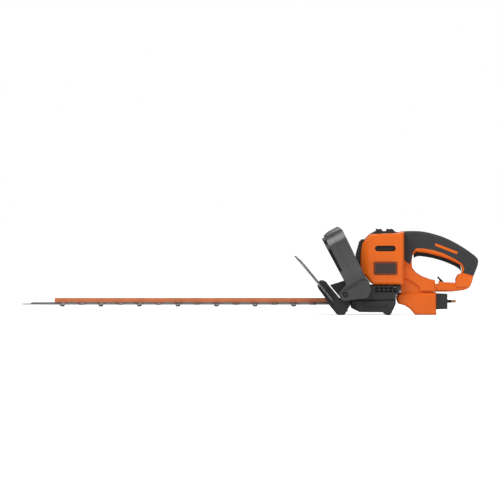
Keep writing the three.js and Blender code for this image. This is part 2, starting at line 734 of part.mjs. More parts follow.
// ---------------------------------------------------------------- guard base and hand guard

const GUARD_BASE = [
  [136, 61], [137.5, 65.5], [142, 68], [148, 67.4], [153, 64.5], [157.5, 58.5], [177.5, 34.8], [181, 29.9],
  [200.6, 29.9], [200.6, 20], [196.4, 14], [193, 7.5], [189.5, 2], [187, 0], [176.5, 0], [172.5, 2],
  [158.4, 19], [149.2, 35], [137, 51], [134.8, 56],
];
// The hand guard's frame: X across the tool, Y up the slope from its foot, Z towards the operator.
const GUARD_SHEET = mirrored([
  [0, 119.3], [22, 118.6], [44, 115], [62, 108.4], ...arc([72, 86], 21, 62, 0, 5), [94, 62], [91, 38],
  [80, 20], [64, 7], [46, 0.6], [14, 0.6], [14, 18], [0, 18],
]);

// A strip of constant thickness, bowed across the tool so that its middle is furthest forward.
function bowedStrip(thickness, [low, high]) {
  const steps = 16;
  const reach = 96;
  const line = (offset) =>
    Array.from({ length: steps + 1 }, (_, i) => {
      const y = reach * ((2 * i) / steps - 1);
      return [y, GUARD_BOW * (y / reach) ** 2 + offset];
    });
  const section = [...line(-thickness / 2), ...line(thickness / 2).reverse()];
  return solid(extruded(section, high - low).rotateX(-Math.PI / 2).translate(0, low, 0));
}

const bowed = bowedStrip(GUARD_THICKNESS, [-5, 130]).scale([1, 1, -1]);
const sheet = upright(GUARD_SHEET, [-40, 40]);
add("hand_guard", bowed.intersect(sheet), "smoked", guard);

const slotForGuard = bowedStrip(GUARD_THICKNESS + 2 * GAP, [-0.2, 130]).scale([1, 1, -1]);
guard.updateMatrixWorld();
const slotInPlace = solid(geometryOf(slotForGuard).applyMatrix4(guard.matrixWorld));
add(
  "guard_base",
  cut(
    across(GUARD_BASE, 38, { edge: 2.6, rounds: 2 }),
    block([120, 210], [-15.5, 15.5], [15, 34]),
    slotInPlace,
    ...[-GUARD_SCREW[1], GUARD_SCREW[1]].flatMap((y) => [
      post(2.6, [-5, 40], 12).translate([GUARD_SCREW[0], y, 0]),
      post(5, [-5, 10], 16).translate([GUARD_SCREW[0], y, 0]),
    ]),
  ),
  "black",
);
for (const [name, side] of Object.entries(SIDES)) {
  const screw = add(
    "guard_screw_" + name,
    turned([[0, 7.4], [1.6, 7.4], [4.2, 6.8], [4.4, 8.4], [4.4, 9.7], [2.2, 9.7], [2.2, 34], [0, 35.6]], 12),
    "steel",
  );
  screw.position.set(GUARD_SCREW[0], side * GUARD_SCREW[1], 0);
}

// ---------------------------------------------------------------- front handle

// In this group X runs across the tool, Y up the handle and Z through its depth, from front to rear.
const LOOP_OUTER = [
  [0, 100], [62, 100], ...arc([62, 66], 34, 90, 0, 7).slice(1), [96, 22], [94.6, 4], [90, -5], [80, -12],
  [64, -20], [57, -32], [57, -66],
];
const LOOP_INNER = [
  [0, 77], [54, 77], ...arc([54, 57], 20, 90, 0, 5).slice(1), [74, 22], [70, 4], [56, -10], [45, -24],
  [45, -66],
];
const FRONT_SIDE = [
  [144.8, 149.4], [150.2, 158.2], ...smooth([[159.8, 167.2], [168, 172.4], [177, 174.6], [183.4, 170.4]], 5),
  [231.2, 71.6], [237.2, 66.4], [240.6, 49], [234, 35], [200, 30.4], ...arc(HANDLE_SCREW, 13, -60, -210, 6),
  [190.6, 61.2], FRONT_FOOT,
].map(inFrontHandle);

function loopSolid(depth) {
  const outline = [...archOf(LOOP_OUTER), ...archOf(LOOP_INNER).reverse()];
  return upright(inset(outline, depth), [-40, 90]);
}

// An outline of height and depth, extruded across the handle.
function alongWidth(outline, half, options) {
  const drawn = outline.map(([height, depth]) => [-depth, height]);
  return solid(extruded(drawn, 2 * half, options).translate(0, 0, -half).rotateY(Math.PI / 2));
}

const LEVER = mirrored([
  [0, LEVER_TOP], [57, LEVER_TOP], ...arc([57, 60], 33, 90, 0, 6).slice(1), [LEVER_OUTER, 21],
]);
const LEVER_WELL = mirrored([
  [0, 80], [50, 80], ...arc([50, 52], 28, 90, 0, 5).slice(1), [LEVER_INNER, 0],
]);
const leverSolid = (growth, [low, high]) => {
  const body = upright(inset(LEVER, -growth), [low, high]);
  return cut(body, upright(inset(LEVER_WELL, growth), [low - 1, high + 1]));
};

const screwPlace = inFrontHandle(HANDLE_SCREW);
const acrossBoss = (radius, from, to, sides = 20) =>
  Object.values(SIDES).map((side) =>
    barAlong("x", radius, side < 0 ? [-to, -from] : [from, to], screwPlace, sides),
  );

function frontHandleSolid() {
  const outside = loopSolid(0).intersect(alongWidth(FRONT_SIDE, 98));
  const inside = loopSolid(FRONT_WALL)
    .intersect(alongWidth(inset(FRONT_SIDE, FRONT_WALL), 98))
    .intersect(block([-100, 100], [-70, 110], [LEVER_GROOVE + FRONT_WALL, 60]));
  return cut(
    join(cut(outside, inside), ...acrossBoss(11, 31.8, 50)),
    ...acrossBoss(5.4, 53.4, 80),
    ...acrossBoss(2.7, 20, 60),
    block([-100, 100], [LEVER_PIVOT[0] - 3.4, 96], [-20, 4.6]),
    leverSolid(0.8, [-10, LEVER_GROOVE]),
    barAlong("x", 2.5, [-93.4, 93.4], LEVER_PIVOT, 14),
    post(2.2, [10, 30]).translate([0, 88, 0]),
  );
}

const frontShells = frontHandleSolid();
const depthSlab = (low, high) => block([-120, 120], [-120, 120], [low, high]);
add(
  "front_handle_front_shell",
  frontShells.intersect(depthSlab(-60, FRONT_SPLIT - GAP / 2)),
  "charcoal",
  frontHandle,
);
add(
  "front_handle_rear_shell",
  frontShells.intersect(depthSlab(FRONT_SPLIT + GAP / 2, 90)),
  "charcoal",
  frontHandle,
);
add(
  "front_switch_bar",
  join(
    leverSolid(0, [-2, LEVER_DEPTH]).intersect(alongWidth(FRONT_SIDE, 98)),
    barAlong("x", 2, [LEVER_INNER + 2, 93], LEVER_PIVOT, 14),
    barAlong("x", 2, [-93, -LEVER_INNER - 2], LEVER_PIVOT, 14),
  ),
  "black",
  frontHandle,
);
const barSpring = add("front_bar_spring", wire(new Coil(2.8, 6.4, 3), 0.4, 24, 5), "steel", frontHandle);
barSpring.position.set(-30, 86.5, 8.9);
const FRONT_PLUNGER_Y = 88;
add(
  "front_switch",
  cut(
    block([-12, 12], [82, 94.5], [25, 37.5]),
    post(2.2, [20, 31]).translate([0, FRONT_PLUNGER_Y, 0]),
  ),
  "carbon",
  frontHandle,
);
const frontPlunger = add("front_switch_plunger", post(1.7, [0, 15.6], 12), "orange", frontHandle);
frontPlunger.position.set(0, FRONT_PLUNGER_Y, 8.5);

for (const [name, side] of Object.entries(SIDES)) {
  const screw = add(
    "handle_screw_" + name,
    turned([[0, 0], [2.3, 0], [2.3, 32], [4.5, 32.3], [4.5, 34], [3.4, 35], [0, 35]], 12),
    "steel",
  );
  screw.rotation.x = (-side * Math.PI) / 2;
  screw.position.set(HANDLE_SCREW[0], side * 21.9, HANDLE_SCREW[1]);
}

// ---------------------------------------------------------------- blades and support bar

const boltX = Array.from({ length: BOLT_COUNT }, (_, i) => FIRST_TOOTH_X + 2 * TOOTH_PITCH * i);
const toothX = Array.from({ length: TOOTH_COUNT }, (_, i) => FIRST_TOOTH_X + TOOTH_PITCH * i);
const SAW_START = -388;
const SAW_TEETH = 7;
const YOKE = {
  neck: 209,
  front: 217,
  rear: 256,
  half: 29.5,
  slotX: ECCENTRIC_R + 1.8,
  slotY: ECCENTRIC_R + THROW + 0.5,
};

function bladeOutline(tip) {
  const sawPitch = (SAW_START - tip - 6) / SAW_TEETH;
  const saw = Array.from({ length: SAW_TEETH }, (_, i) => {
    const x = tip + 6 + sawPitch * i;
    const half = 8 + ((15 - 8) * i) / SAW_TEETH;
    return [[x, half - 3.4], [x + 0.75 * sawPitch, half + 1.6]];
  }).flat();
  const teeth = toothX.flatMap((x) => [
    [x - TOOTH_ROOT_HALF, SHANK_HALF],
    [x - TOOTH_TIP_HALF, TOOTH_REACH],
    [x + TOOTH_TIP_HALF, TOOTH_REACH],
    [x + TOOTH_ROOT_HALF, SHANK_HALF],
  ]);
  const yoke = [
    [YOKE.neck, SHANK_HALF], [YOKE.front, YOKE.half], [YOKE.rear - 6, YOKE.half], [YOKE.rear, YOKE.half - 8],
  ];
  const half = [[tip, 1.6], ...saw, [SAW_START, SHANK_HALF], ...teeth, ...yoke];
  return [...half, ...half.map(([x, y]) => [x, -y]).reverse()];
}

function blade(tip, low) {
  const slots = boltX.map((x) => [
    ...arc([x + 8.2, 0], BOLT_SHOULDER + 0.35, -90, 90, 3),
    ...arc([x - 8.2, 0], BOLT_SHOULDER + 0.35, 90, 270, 3),
  ]);
  const yokeSlot = [
    [GEAR_X - YOKE.slotX, -YOKE.slotY], [GEAR_X + YOKE.slotX, -YOKE.slotY],
    [GEAR_X + YOKE.slotX, YOKE.slotY], [GEAR_X - YOKE.slotX, YOKE.slotY],
  ];
  return upright(bladeOutline(tip), [low, low + BLADE_THICKNESS], { holes: [...slots, yokeSlot] });
}

add("lower_blade", blade(BLADE_TIP_X, LOWER_BLADE_Z), "steel");
add("upper_blade", blade(-438, UPPER_BLADE_Z), "steel");

const channel = cut(
  block(BAR_X, [-BAR_HALF, BAR_HALF], BAR_Z),
  block([BAR_X[0] - 1, BAR_X[1] + 1], [BAR_WALL - BAR_HALF, BAR_HALF - BAR_WALL], [BAR_Z[0] + BAR_WALL, 40]),
);
add(
  "support_bar",
  cut(channel, ...boltX.map((x) => post(2.8, [20, 30], 8).translate([x, 0, 0]))),
  "barOrange",
);

boltX.forEach((x, i) => {
  const top = UPPER_BLADE_Z + BLADE_THICKNESS;
  const profile = [
    [0, 15.9], [3.8, 15.9], [4.8, 16.7], [4.8, 19.6], [BOLT_SHOULDER, 19.6], [BOLT_SHOULDER, top],
    [2.5, top], [2.5, 31.4], [0, 31.4],
  ];
  const bolt = add("blade_bolt_" + (i + 1), turned(profile, 8), "darkSteel");
  bolt.position.x = x;
});

export default trimmer;
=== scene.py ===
"""Looks of a mains hedge trimmer: fine shapes and finishes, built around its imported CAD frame.

Every length is in metres, in the frame's own axes: +X runs from the blade tip to the rear handle, and +Z
is up.
"""
import json
import math

import bmesh
import bpy
from bpy.props import FloatProperty, FloatVectorProperty, IntProperty, PointerProperty
from mathutils import Matrix, Vector

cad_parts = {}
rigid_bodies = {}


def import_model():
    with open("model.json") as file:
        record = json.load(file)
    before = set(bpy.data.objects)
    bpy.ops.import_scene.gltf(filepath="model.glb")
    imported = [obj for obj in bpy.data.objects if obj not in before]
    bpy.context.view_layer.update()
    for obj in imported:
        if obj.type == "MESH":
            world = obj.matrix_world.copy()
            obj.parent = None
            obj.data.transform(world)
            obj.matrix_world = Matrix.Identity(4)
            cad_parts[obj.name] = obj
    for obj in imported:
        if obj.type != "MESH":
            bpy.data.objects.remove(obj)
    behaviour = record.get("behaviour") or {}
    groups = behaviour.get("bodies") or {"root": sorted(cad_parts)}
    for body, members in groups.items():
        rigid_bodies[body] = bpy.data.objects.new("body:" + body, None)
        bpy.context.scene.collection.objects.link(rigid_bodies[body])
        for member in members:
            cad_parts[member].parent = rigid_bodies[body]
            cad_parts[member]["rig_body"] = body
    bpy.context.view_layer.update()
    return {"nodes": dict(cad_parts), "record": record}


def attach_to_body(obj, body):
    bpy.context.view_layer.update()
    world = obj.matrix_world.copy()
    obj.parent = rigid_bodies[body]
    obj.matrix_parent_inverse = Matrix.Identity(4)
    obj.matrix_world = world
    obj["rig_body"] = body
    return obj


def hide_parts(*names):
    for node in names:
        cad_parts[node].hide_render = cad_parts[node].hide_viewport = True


bl_info = {
    "name": "Hedge trimmer",
    "version": (1, 0, 0),
    "blender": (4, 5, 0),
    "location": "View3D > Sidebar > Hedge trimmer",
    "description": "Builds the finished pieces of a mains hedge trimmer around its CAD frame",
    "category": "Object",
}

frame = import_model()

MM = 0.001
MERGE = 0.02 * MM
SIDES = {"left": -1, "right": 1}

# Places shared with the CAD, in millimetres.
FIRST_BOLT_X = -375.4
BOLT_SPACING = 77.1
CHANNEL_FLOOR = 27.0
HANDLE_SCREW_X = 190
HANDLE_SCREW_Z = 41.4
HANDLE_SCREW_START = 21.9
PIN_Y = 9.5
PIN_Z = 26.4
CLEARANCE = 0.05

FULL_TURN = math.radians(360)
UPWARDS = Matrix.Identity(4)
DOWNWARDS = Matrix.Rotation(math.radians(180), 4, "X")
ALONG_X = Matrix.Rotation(math.radians(90), 4, "Y")
ALONG_Y = {1: Matrix.Rotation(math.radians(-90), 4, "X"), -1: Matrix.Rotation(math.radians(90), 4, "X")}


# ---------------------------------------------------------------- settings


def tint(name, description, default):
    """A colour that the sidebar shows as a swatch."""
    return FloatVectorProperty(
        name=name, description=description, default=default, subtype="COLOR", size=3, min=0, max=1
    )


def length(name, description, default):
    """A length in metres."""
    return FloatProperty(
        name=name, description=description, default=default, min=0, unit="LENGTH", precision=5
    )


def angle(name, description, degrees):
    """An angle, given in degrees and kept in radians."""
    return FloatProperty(name=name, description=description, default=math.radians(degrees), unit="ROTATION")


class TrimmerColours(bpy.types.PropertyGroup):
    """Base colours of the finishes."""

    housing: tint("Housing", "Orange of the housing halves", (0.88, 0.155, 0.008))
    bar: tint("Bar", "Orange coating of the blade support bar", (0.66, 0.19, 0.07))
    charcoal: tint("Charcoal", "Dark grey of the front handle", (0.04, 0.04, 0.041))
    black: tint("Black", "Black of the gear case, covers and trigger", (0.013, 0.013, 0.014))
    grip: tint("Grip", "Soft skin of the rear handle", (0.04, 0.041, 0.043))
    guard: tint("Guard", "Smoke tint of the hand guard", (0.42, 0.44, 0.46))
    blade: tint("Blade", "Steel of the blades", (0.33, 0.335, 0.34))
    badge: tint("Badge", "Plain plate on each flank", (0.04, 0.014, 0.008))


class TrimmerSizes(bpy.types.PropertyGroup):
    """Sizes of the fine shapes that the CAD frame leaves plain."""

    edge: length("Moulded edge", "Radius of the small edges of moulded pieces", 0.6 * MM)
    metal_edge: length("Metal edge", "Radius of the broken edges of metal pieces", 0.25 * MM)
    edge_steps: IntProperty(
        name="Edge steps", description="Segments round each small edge", default=2, min=1, max=4
    )
    ground: length("Ground edge", "Width of the ground bevel along a blade's teeth", 1.3 * MM)
    rim: length("Handle rim", "Radius of the front handle's long rims", 4.5 * MM)
    case_edge: length("Case edge", "Radius of the gear case's and covers' edges", 1.0 * MM)
    nut: length("Nut", "Radius of the blade nuts at their corners", 4.6 * MM)
    washer: length("Washer", "Radius of the washers under the blade nuts", 5.6 * MM)
    screw_head: length("Screw head", "Radius of the housing screws' heads", 3.3 * MM)
    badge_line: length("Badge line", "Width of the raised line round each badge", 1.2 * MM)
    badge_margin: length("Badge margin", "Flat left outside that line", 1.1 * MM)


class TrimmerStage(bpy.types.PropertyGroup):
    """Camera, lights and floor."""

    distance: length("Distance", "Camera to the tool", 9.0)
    field: length("Field", "Width seen at the tool", 1.0)
    aim: length("Aim", "Height that the camera looks at", 0.129)
    look_down: angle("Look down", "Angle of the camera below the horizon", 1.2)
    key: FloatProperty(
        name="Key light", description="Power of the main softbox", default=38, min=0, unit="POWER"
    )
    fill: FloatProperty(
        name="Fill light", description="Power of the softbox on the right", default=8, min=0, unit="POWER"
    )
    sky: FloatProperty(name="Sky", description="Strength of the light from all round", default=0.38, min=0)
    mirrored: FloatProperty(
        name="Mirrored sky", description="Part of the sky that reflections show", default=0.3, min=0, max=1
    )
    floor: tint("Floor", "Pale floor", (0.9, 0.9, 0.9))
    glow: FloatProperty(
        name="Floor glow", description="Light added to the floor as the camera sees it", default=0.7, min=0
    )


class TrimmerSettings(bpy.types.PropertyGroup):
    """Everything that the sidebar lists."""

    colours: PointerProperty(type=TrimmerColours)
    sizes: PointerProperty(type=TrimmerSizes)
    stage: PointerProperty(type=TrimmerStage)


def settings():
    """The scene's own settings."""
    return bpy.context.scene.hedge_trimmer


# ---------------------------------------------------------------- node groups


def node_in(tree, kind, links=None, **values):
    """Adds a node, sets its properties and plain inputs, and joins its linked inputs."""
    made = tree.nodes.new(kind)
    for key, value in values.items():
        if key.startswith("set_"):
            setattr(made, key[4:], value)
        else:
            made.inputs[key.replace("_", " ")].default_value = value
    for key, socket in (links or {}).items():
        tree.links.new(socket, made.inputs[key])
    return made


def maths(tree, operation, a, b=0.0):
    """A Math node's result for sockets or numbers."""
    made = tree.nodes.new("ShaderNodeMath")
    made.operation = operation
    for place, value in enumerate((a, b)):
        if isinstance(value, bpy.types.NodeSocket):
            tree.links.new(value, made.inputs[place])
        else:
            made.inputs[place].default_value = value
    return made.outputs[0]


def ramp(tree, socket, low, high, to_low=0.0, to_high=1.0):
    """A socket's value, stretched from low..high to to_low..to_high and held there."""
    made = node_in(
        tree,
        "ShaderNodeMapRange",
        {"Value": socket},
        From_Min=low,
        From_Max=high,
        To_Min=to_low,
        To_Max=to_high,
    )
    return made.outputs["Result"]


def new_group(name, inputs, outputs):
    """An empty shader node group with float or vector sockets, and its two end nodes."""
    tree = bpy.data.node_groups.new(name, "ShaderNodeTree")
    for label, kind, default in inputs:
        socket = tree.interface.new_socket(label, in_out="INPUT", socket_type=kind)
        if default is not None:
            socket.default_value = default
    for label, kind in outputs:
        tree.interface.new_socket(label, in_out="OUTPUT", socket_type=kind)
    return tree, tree.nodes.new("NodeGroupInput"), tree.nodes.new("NodeGroupOutput")


def group(name):
    """A shared node group, built the first time it is asked for."""
    return bpy.data.node_groups.get(name) or GROUPS[name](name)


def moulded_grain(name):
    """Spark-eroded mould texture: a fine pebbled height, and a broad mottle from flow in the mould."""
    tree, start, end = new_group(
        name,
        [
            ("Vector", "NodeSocketVector", None),
            ("Grain", "NodeSocketFloat", 1400.0),
            ("Flow", "NodeSocketFloat", 14.0),
        ],
        [("Height", "NodeSocketFloat"), ("Mottle", "NodeSocketFloat")],
    )
    at = start.outputs["Vector"]
    pebble = node_in(
        tree, "ShaderNodeTexVoronoi", {"Vector": at, "Scale": start.outputs["Grain"]}, Randomness=1.0
    )
    grit = node_in(
        tree,
        "ShaderNodeTexNoise",
        {"Vector": at, "Scale": start.outputs["Grain"]},
        Detail=3.0,
        Roughness=0.6,
    )
    flow = node_in(
        tree,
        "ShaderNodeTexNoise",
        {"Vector": at, "Scale": start.outputs["Flow"]},
        Detail=4.0,
        Roughness=0.55,
    )
    height = maths(
        tree,
        "ADD",
        maths(tree, "MULTIPLY", pebble.outputs["Distance"], 0.6),
        maths(tree, "MULTIPLY", grit.outputs[0], 0.4),
    )
    tree.links.new(height, end.inputs["Height"])
    tree.links.new(ramp(tree, flow.outputs[0], 0.3, 0.7), end.inputs["Mottle"])
    return tree


def rubbed_edges(name):
    """Mask of the outer edges that hands and shelves rub, broken up by noise."""
    tree, start, end = new_group(
        name,
        [
            ("Vector", "NodeSocketVector", None),
            ("Width", "NodeSocketFloat", 0.0012),
            ("Breakup", "NodeSocketFloat", 160.0),
        ],
        [("Mask", "NodeSocketFloat")],
    )
    rounded = node_in(tree, "ShaderNodeBevel", {"Radius": start.outputs["Width"]}, set_samples=4)
    plain = tree.nodes.new("ShaderNodeNewGeometry")
    along = node_in(tree, "ShaderNodeVectorMath", set_operation="DOT_PRODUCT")
    tree.links.new(rounded.outputs["Normal"], along.inputs[0])
    tree.links.new(plain.outputs["Normal"], along.inputs[1])
    turned = ramp(tree, along.outputs["Value"], 0.995, 0.9)
    patches = node_in(
        tree, "ShaderNodeTexNoise", {
            "Vector": start.outputs["Vector"], "Scale": start.outputs["Breakup"]
        }, Detail=5.0
    )
    broken = ramp(tree, patches.outputs[0], 0.4, 0.62)
    tree.links.new(maths(tree, "MULTIPLY", turned, broken), end.inputs["Mask"])
    return tree


def machined_lines(name):
    """Fine lines left by a grinding wheel, from coordinates that are already stretched along the lines."""
    tree, start, end = new_group(
        name,
        [("Vector", "NodeSocketVector", None), ("Lines", "NodeSocketFloat", 90.0)],
        [("Height", "NodeSocketFloat"), ("Tone", "NodeSocketFloat")],
    )
    lines = node_in(
        tree,
        "ShaderNodeTexNoise",
        {"Vector": start.outputs["Vector"], "Scale": start.outputs["Lines"]},
        Detail=6.0,
        Roughness=0.7,
    )
    broad = node_in(tree, "ShaderNodeTexNoise", {"Vector": start.outputs["Vector"]}, Scale=6.0, Detail=3.0)
    tree.links.new(lines.outputs[0], end.inputs["Height"])
    mixed = maths(
        tree,
        "ADD",
        maths(tree, "MULTIPLY", lines.outputs[0], 0.5),
        maths(tree, "MULTIPLY", broad.outputs[0], 0.5),
    )
    tree.links.new(ramp(tree, mixed, 0.35, 0.65), end.inputs["Tone"])
    return tree


def handling_marks(name):
    """Thin scratches in two directions and faint smudges."""
    tree, start, end = new_group(
        name, [("Vector", "NodeSocketVector", None)], [
            ("Scratches", "NodeSocketFloat"), ("Smudge", "NodeSocketFloat")
        ]
    )
    threads = []
    for turn, stretch in ((0.5, (900.0, 25.0, 500.0)), (-0.8, (30.0, 700.0, 900.0))):
        turned = node_in(
            tree,
            "ShaderNodeMapping",
            {"Vector": start.outputs["Vector"]},
            Rotation=(0.0, turn, turn),
            Scale=stretch,
        )
        thread = node_in(
            tree, "ShaderNodeTexNoise", {"Vector": turned.outputs["Vector"]}, Scale=1.0, Detail=1.0
        )
        threads.append(ramp(tree, thread.outputs[0], 0.7, 0.74))
    smudge = node_in(tree, "ShaderNodeTexNoise", {"Vector": start.outputs["Vector"]}, Scale=26.0, Detail=2.0)
    tree.links.new(maths(tree, "MAXIMUM", *threads), end.inputs["Scratches"])
    tree.links.new(ramp(tree, smudge.outputs[0], 0.45, 0.7), end.inputs["Smudge"])
    return tree


GROUPS = {
    "moulded_grain": moulded_grain,
    "rubbed_edges": rubbed_edges,
    "machined_lines": machined_lines,
    "handling_marks": handling_marks,
}


# ---------------------------------------------------------------- materials


class Finish:
    """One material on a Principled surface, with its patterns on object coordinates."""

    def __init__(self, name, **surface):
        self.material = bpy.data.materials.new(name)
        self.material.use_nodes = True
        self.tree = self.material.node_tree
        self.surface = self.tree.nodes["Principled BSDF"]
        for key, value in surface.items():
            self.surface.inputs[key.replace("_", " ")].default_value = value
        self.at = self.tree.nodes.new("ShaderNodeTexCoord").outputs["Object"]

    def pattern(self, name, vector=None, **values):
        """Places a shared node group and returns its outputs."""
        made = self.tree.nodes.new("ShaderNodeGroup")
        made.node_tree = group(name)
        self.tree.links.new(vector or self.at, made.inputs["Vector"])
        for key, value in values.items():
            made.inputs[key].default_value = value
        return made.outputs

    def stretched(self, scale, turn=(0.0, 0.0, 0.0)):
        """Object coordinates, turned and then scaled along each axis."""
        made = node_in(self.tree, "ShaderNodeMapping", {"Vector": self.at}, Rotation=turn, Scale=scale)
        return made.outputs["Vector"]

    def blend(self, factor, low, high, mode="MIX"):
        """A colour between two colours or colour sockets."""
        mix = node_in(self.tree, "ShaderNodeMix", set_data_type="RGBA", set_blend_type=mode)
        self.tree.links.new(factor, mix.inputs["Factor"])
        for place, value in ((6, low), (7, high)):
            if isinstance(value, bpy.types.NodeSocket):
                self.tree.links.new(value, mix.inputs[place])
            else:
                mix.inputs[place].default_value = (*value, 1.0)
        return mix.outputs[2]

    def drive(self, socket, source, low=None, high=None):
        """Feeds a surface input, with the source stretched from 0..1 to low..high if they are given."""
        if low is not None:
            source = ramp(self.tree, source, 0.0, 1.0, low, high)
        self.tree.links.new(source, self.surface.inputs[socket])

    def relief(self, height, depth, strength=1.0):
        """Bumps the surface by a height of 0 to 1, which is a depth in metres."""
        bump = node_in(self.tree, "ShaderNodeBump", {"Height": height}, Distance=depth, Strength=strength)
        self.tree.links.new(bump.outputs["Normal"], self.surface.inputs["Normal"])


def shade(colour, factor):
    """A colour made lighter or darker."""
    return tuple(min(1.0, part * factor) for part in colour)


def moulding(name, colour, roughness, grain=1400.0, depth=0.03 * MM, wear=1.5, coat=0.0, shine=0.35):
    """Injection moulded plastic: flow mottle, mould grain, smudges and lighter rubbed edges."""
    finish = Finish(name, Coat_Weight=coat, Coat_Roughness=0.2, Specular_IOR_Level=shine)
    skin = finish.pattern("moulded_grain", Grain=grain)
    edges = finish.pattern("rubbed_edges")
    marks = finish.pattern("handling_marks")
    body = finish.blend(skin["Mottle"], shade(colour, 0.93), shade(colour, 1.06))
    worn = finish.blend(maths(finish.tree, "MULTIPLY", edges["Mask"], 0.5), body, shade(colour, wear))
    finish.drive("Base Color", worn)
    dull = maths(
        finish.tree,
        "ADD",
        maths(finish.tree, "MULTIPLY", skin["Mottle"], 0.5),
        maths(finish.tree, "MULTIPLY", marks["Smudge"], 0.5),
    )
    finish.drive("Roughness", dull, roughness - 0.05, roughness + 0.07)
    finish.relief(skin["Height"], depth)
    return finish.material


def housing_plastic(colours):
    """Satin orange of the housing halves."""
    return moulding(
        "housing_plastic", colours.housing, 0.36, grain=1200.0, depth=0.02 * MM, wear=1.3, coat=0.1
    )


def charcoal_plastic(colours):
    """Smooth dark grey of the front handle."""
    return moulding(
        "charcoal_plastic",
        colours.charcoal,
        0.3,
        grain=1500.0,
        depth=0.012 * MM,
        wear=1.8,
        coat=0.35,
        shine=0.4,
    )


def black_plastic(colours):
    """Textured black of the gear case, guard base and covers."""
    return moulding("black_plastic", colours.black, 0.38, grain=1100.0, depth=0.03 * MM, wear=2.4, shine=0.35)


def gloss_black_plastic(colours):
    """Smoother black of the trigger, switch bar and cord hook."""
    return moulding(
        "gloss_black_plastic",
        colours.black,
        0.3,
        grain=1700.0,
        depth=0.01 * MM,
        wear=2.0,
        coat=0.1,
        shine=0.2,
    )


def inner_plastic(colours):
    """Dull black of switches, fan and brushes."""
    return moulding("inner_plastic", shade(colours.black, 0.8), 0.6, grain=900.0, depth=0.03 * MM)


def plunger_plastic(colours):
    """Orange switch plungers."""
    return moulding("plunger_plastic", shade(colours.housing, 0.9), 0.45)


def soft_skin(colours):
    """Rubbery skin with a stipple of fine dimples."""
    finish = Finish("soft_skin", Sheen_Weight=0.25, Sheen_Roughness=0.5, Specular_IOR_Level=0.3)
    skin = finish.pattern("moulded_grain", Grain=800.0, Flow=22.0)
    edges = finish.pattern("rubbed_edges", Width=0.0016)
    dimple = node_in(finish.tree, "ShaderNodeTexVoronoi", {"Vector": finish.at}, Scale=620.0, Randomness=0.35)
    body = finish.blend(skin["Mottle"], shade(colours.grip, 0.86), shade(colours.grip, 1.16))
    finish.drive("Base Color", finish.blend(edges["Mask"], body, shade(colours.grip, 1.7)))
    finish.drive("Roughness", skin["Mottle"], 0.62, 0.78)
    pits = ramp(finish.tree, dimple.outputs["Distance"], 0.1, 0.5)
    finish.relief(
        maths(finish.tree, "ADD", pits, maths(finish.tree, "MULTIPLY", skin["Height"], 0.4)), 0.12 * MM
    )
    return finish.material


def smoked_guard(colours):
    """See-through smoke-tinted moulding with faint scratches."""
    finish = Finish("smoked_guard", Transmission_Weight=0.82, IOR=1.49, Specular_IOR_Level=0.5)
    marks = finish.pattern("handling_marks")
    skin = finish.pattern("moulded_grain", Grain=300.0, Flow=18.0)
    body = finish.blend(skin["Mottle"], shade(colours.guard, 0.92), shade(colours.guard, 1.05))
    finish.drive("Base Color", finish.blend(marks["Scratches"], body, shade(colours.guard, 1.5)))
    finish.drive("Roughness", maths(finish.tree, "MAXIMUM", marks["Scratches"], marks["Smudge"]), 0.1, 0.26)
    finish.relief(skin["Mottle"], 0.08 * MM)
    return finish.material


def bar_coating(colours):
    """Orange powder coat on the support bar, with its metal showing through at rubbed corners."""
    finish = Finish("bar_coating", Coat_Weight=0.1, Coat_Roughness=0.3)
    skin = finish.pattern("moulded_grain", Grain=500.0, Flow=30.0)
    edges = finish.pattern("rubbed_edges", Width=0.0008, Breakup=240.0)
    chips = ramp(finish.tree, edges["Mask"], 0.35, 0.6)
    body = finish.blend(skin["Mottle"], shade(colours.bar, 0.9), shade(colours.bar, 1.12))
    finish.drive("Base Color", finish.blend(chips, body, (0.55, 0.52, 0.5)))
    finish.drive("Metallic", chips)
    finish.drive("Roughness", skin["Mottle"], 0.34, 0.46)
    finish.relief(skin["Height"], 0.03 * MM)
    return finish.material


def metal(name, colour, roughness, stretch, lines=90.0, depth=0.01 * MM, tone=0.25, stain=None):
    """Machined metal with lines along the axis that is stretched least, and stains if they are given."""
    finish = Finish(name, Metallic=1.0)
    cut = finish.pattern("machined_lines", vector=finish.stretched(stretch), Lines=lines)
    marks = finish.pattern("handling_marks")
    body = finish.blend(cut["Tone"], shade(colour, 1 - tone), shade(colour, 1 + tone))
    if stain:
        body = finish.blend(marks["Smudge"], body, stain)
    finish.drive("Base Color", finish.blend(marks["Scratches"], body, shade(colour, 1.5)))
    finish.drive("Roughness", cut["Tone"], roughness + 0.08, roughness - 0.06)
    finish.relief(cut["Height"], depth)
    return finish.material


def blade_steel(colours):
    """Blades, ground across their width and lightly stained by sap and oil."""
    return metal("blade_steel", colours.blade, 0.34, (12.0, 1.2, 4.0), stain=shade(colours.blade, 0.62))


def ground_steel(colours):
    """Bright cutting bevels."""
    return metal("ground_steel", shade(colours.blade, 1.9), 0.22, (14.0, 2.0, 14.0), lines=140.0, tone=0.12)


def dark_steel(_):
    """Blackened bolts and nuts."""
    return metal("dark_steel", (0.1, 0.1, 0.105), 0.42, (4.0, 4.0, 20.0))


def bright_steel(_):
    """Turned shafts, gears and screws."""
    return metal("bright_steel", (0.52, 0.52, 0.53), 0.28, (4.0, 4.0, 22.0))


def brass(_):
    """Turned brass pins and bushes."""
    return metal("brass", (0.62, 0.42, 0.16), 0.26, (22.0, 4.0, 4.0), tone=0.12)


